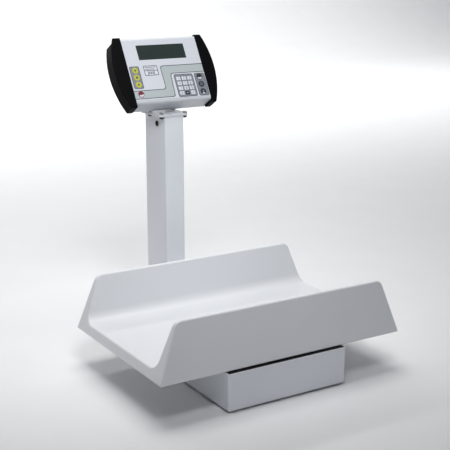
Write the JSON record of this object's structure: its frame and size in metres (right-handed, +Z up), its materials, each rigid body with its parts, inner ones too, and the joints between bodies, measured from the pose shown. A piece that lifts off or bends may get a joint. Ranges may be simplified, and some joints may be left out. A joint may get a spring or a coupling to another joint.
{
  "type": "animal weighing scale",
  "caption": "Table-top scale for small animals: an open-ended cradle tray on a load-cell base box, with a tilting keypad and display head on a rear column.",
  "frame": {"origin": "centre of the footprint on the surface that the rubber feet stand on", "axes": "+X to the right along the tray, +Y to the rear towards the column, +Z up"},
  "size_m": [0.6, 0.62, 0.7136],
  "materials": {
    "white_enamel": "semi-gloss powder coat",
    "zinc_steel": "zinc plated",
    "black_rubber": "matte",
    "zinc_screw": "zinc plated",
    "dark_screw": "black oxide",
    "cell_aluminium": "milled",
    "tray_plastic": "fine satin texture",
    "black_plastic": "matte",
    "bracket_steel": "semi-gloss",
    "nylon": "satin",
    "head_enamel": "satin",
    "overlay_film": "fine-textured film",
    "display_glass": "clear, slightly glossy",
    "module_plastic": "satin",
    "cap_plastic": "fine matte texture",
    "circuit_board": "solder mask",
    "brass_pillar": "turned",
    "battery_wrap": "shrink wrap",
    "red_key": "satin",
    "yellow_key": "satin",
    "dark_key": "satin",
    "pale_key": "satin"
  },
  "bodies": {
    "stand": {"base_cover": "white_enamel", "base_plate": "zinc_steel", "rubber_feet": "black_rubber", "cover_screws": "zinc_screw", "load_cell": "cell_aluminium", "lower_spacer": "cell_aluminium", "lower_cell_screws": "zinc_screw", "overload_stop": "zinc_screw", "rear_beam": "white_enamel", "beam_plug": "black_plastic", "rear_bar": "white_enamel", "frame_bolts": "zinc_screw", "column": "white_enamel", "cable_grommet": "black_rubber", "top_plate": "white_enamel", "bracket_bolts": "dark_screw", "yoke": "bracket_steel", "pivot_bolt": "dark_screw", "pivot_washers": "nylon"},
    "weighing": {"platform": "zinc_steel", "upper_spacer": "cell_aluminium", "upper_cell_screws": "zinc_screw", "tray_bumpers": "black_rubber", "tray_screws": "zinc_screw", "tray": "tray_plastic"},
    "head": {"head_housing": "head_enamel", "front_overlay": "overlay_film", "display_window": "display_glass", "display_module": "module_plastic", "end_cap_left": "cap_plastic", "end_cap_right": "cap_plastic", "cap_screws": "dark_screw", "head_bracket": "bracket_steel", "head_bracket_screws": "dark_screw", "key_board": "circuit_board", "main_board": "circuit_board", "board_pillars": "brass_pillar", "battery_pack": "battery_wrap", "power_socket": "black_plastic", "cable_gland": "black_plastic"},
    "knob": {"tilt_knob": "black_plastic"},
    "key_red_body": {"key_red": "red_key"},
    "key_yellow_1_body": {"key_yellow_1": "yellow_key"},
    "key_yellow_2_body": {"key_yellow_2": "yellow_key"},
    "key_yellow_3_body": {"key_yellow_3": "yellow_key"},
    "key_dark_1_body": {"key_dark_1": "dark_key"},
    "key_dark_2_body": {"key_dark_2": "dark_key"},
    "key_dark_3_body": {"key_dark_3": "dark_key"},
    "key_pad_1_1_body": {"key_pad_1_1": "pale_key"},
    "key_pad_1_2_body": {"key_pad_1_2": "dark_key"},
    "key_pad_1_3_body": {"key_pad_1_3": "pale_key"},
    "key_pad_2_1_body": {"key_pad_2_1": "pale_key"},
    "key_pad_2_2_body": {"key_pad_2_2": "pale_key"},
    "key_pad_2_3_body": {"key_pad_2_3": "pale_key"},
    "key_pad_3_1_body": {"key_pad_3_1": "pale_key"},
    "key_pad_3_2_body": {"key_pad_3_2": "pale_key"},
    "key_pad_3_3_body": {"key_pad_3_3": "pale_key"},
    "key_pad_4_1_body": {"key_pad_4_1": "pale_key"},
    "key_pad_4_2_body": {"key_pad_4_2": "pale_key"},
    "key_pad_4_3_body": {"key_pad_4_3": "pale_key"}
  },
  "joints": [
    {"name": "weigh_press", "type": "slide", "parent": "stand", "child": "weighing", "axis": [0, 0, 1], "range_m": [-0.0006, 0], "stiffness_N_per_m": 392000, "springref_m": 0.00012, "deforming": ["load_cell"]},
    {"name": "head_tilt", "type": "hinge", "parent": "stand", "child": "head", "pos_m": [0, 0.26545, 0.58776], "axis": [1, 0, 0], "range_deg": [-30, 4]},
    {"name": "knob_turn", "type": "hinge", "parent": "stand", "child": "knob", "pos_m": [0, 0.26545, 0.58776], "axis": [1, 0, 0], "range_deg": [0, 180]},
    {"name": "press_red", "type": "slide", "parent": "head", "child": "key_red_body", "axis": [0, 0.866, -0.5], "range_m": [0, 0.0005], "stiffness_N_per_m": 1500, "springref_m": -0.0002},
    {"name": "press_yellow_1", "type": "slide", "parent": "head", "child": "key_yellow_1_body", "axis": [0, 0.866, -0.5], "range_m": [0, 0.0005], "stiffness_N_per_m": 1500, "springref_m": -0.0002},
    {"name": "press_yellow_2", "type": "slide", "parent": "head", "child": "key_yellow_2_body", "axis": [0, 0.866, -0.5], "range_m": [0, 0.0005], "stiffness_N_per_m": 1500, "springref_m": -0.0002},
    {"name": "press_yellow_3", "type": "slide", "parent": "head", "child": "key_yellow_3_body", "axis": [0, 0.866, -0.5], "range_m": [0, 0.0005], "stiffness_N_per_m": 1500, "springref_m": -0.0002},
    {"name": "press_dark_1", "type": "slide", "parent": "head", "child": "key_dark_1_body", "axis": [0, 0.866, -0.5], "range_m": [0, 0.0005], "stiffness_N_per_m": 1500, "springref_m": -0.0002},
    {"name": "press_dark_2", "type": "slide", "parent": "head", "child": "key_dark_2_body", "axis": [0, 0.866, -0.5], "range_m": [0, 0.0005], "stiffness_N_per_m": 1500, "springref_m": -0.0002},
    {"name": "press_dark_3", "type": "slide", "parent": "head", "child": "key_dark_3_body", "axis": [0, 0.866, -0.5], "range_m": [0, 0.0005], "stiffness_N_per_m": 1500, "springref_m": -0.0002},
    {"name": "press_pad_1_1", "type": "slide", "parent": "head", "child": "key_pad_1_1_body", "axis": [0, 0.866, -0.5], "range_m": [0, 0.0005], "stiffness_N_per_m": 1500, "springref_m": -0.0002},
    {"name": "press_pad_1_2", "type": "slide", "parent": "head", "child": "key_pad_1_2_body", "axis": [0, 0.866, -0.5], "range_m": [0, 0.0005], "stiffness_N_per_m": 1500, "springref_m": -0.0002},
    {"name": "press_pad_1_3", "type": "slide", "parent": "head", "child": "key_pad_1_3_body", "axis": [0, 0.866, -0.5], "range_m": [0, 0.0005], "stiffness_N_per_m": 1500, "springref_m": -0.0002},
    {"name": "press_pad_2_1", "type": "slide", "parent": "head", "child": "key_pad_2_1_body", "axis": [0, 0.866, -0.5], "range_m": [0, 0.0005], "stiffness_N_per_m": 1500, "springref_m": -0.0002},
    {"name": "press_pad_2_2", "type": "slide", "parent": "head", "child": "key_pad_2_2_body", "axis": [0, 0.866, -0.5], "range_m": [0, 0.0005], "stiffness_N_per_m": 1500, "springref_m": -0.0002},
    {"name": "press_pad_2_3", "type": "slide", "parent": "head", "child": "key_pad_2_3_body", "axis": [0, 0.866, -0.5], "range_m": [0, 0.0005], "stiffness_N_per_m": 1500, "springref_m": -0.0002},
    {"name": "press_pad_3_1", "type": "slide", "parent": "head", "child": "key_pad_3_1_body", "axis": [0, 0.866, -0.5], "range_m": [0, 0.0005], "stiffness_N_per_m": 1500, "springref_m": -0.0002},
    {"name": "press_pad_3_2", "type": "slide", "parent": "head", "child": "key_pad_3_2_body", "axis": [0, 0.866, -0.5], "range_m": [0, 0.0005], "stiffness_N_per_m": 1500, "springref_m": -0.0002},
    {"name": "press_pad_3_3", "type": "slide", "parent": "head", "child": "key_pad_3_3_body", "axis": [0, 0.866, -0.5], "range_m": [0, 0.0005], "stiffness_N_per_m": 1500, "springref_m": -0.0002},
    {"name": "press_pad_4_1", "type": "slide", "parent": "head", "child": "key_pad_4_1_body", "axis": [0, 0.866, -0.5], "range_m": [0, 0.0005], "stiffness_N_per_m": 1500, "springref_m": -0.0002},
    {"name": "press_pad_4_2", "type": "slide", "parent": "head", "child": "key_pad_4_2_body", "axis": [0, 0.866, -0.5], "range_m": [0, 0.0005], "stiffness_N_per_m": 1500, "springref_m": -0.0002},
    {"name": "press_pad_4_3", "type": "slide", "parent": "head", "child": "key_pad_4_3_body", "axis": [0, 0.866, -0.5], "range_m": [0, 0.0005], "stiffness_N_per_m": 1500, "springref_m": -0.0002}
  ]
}
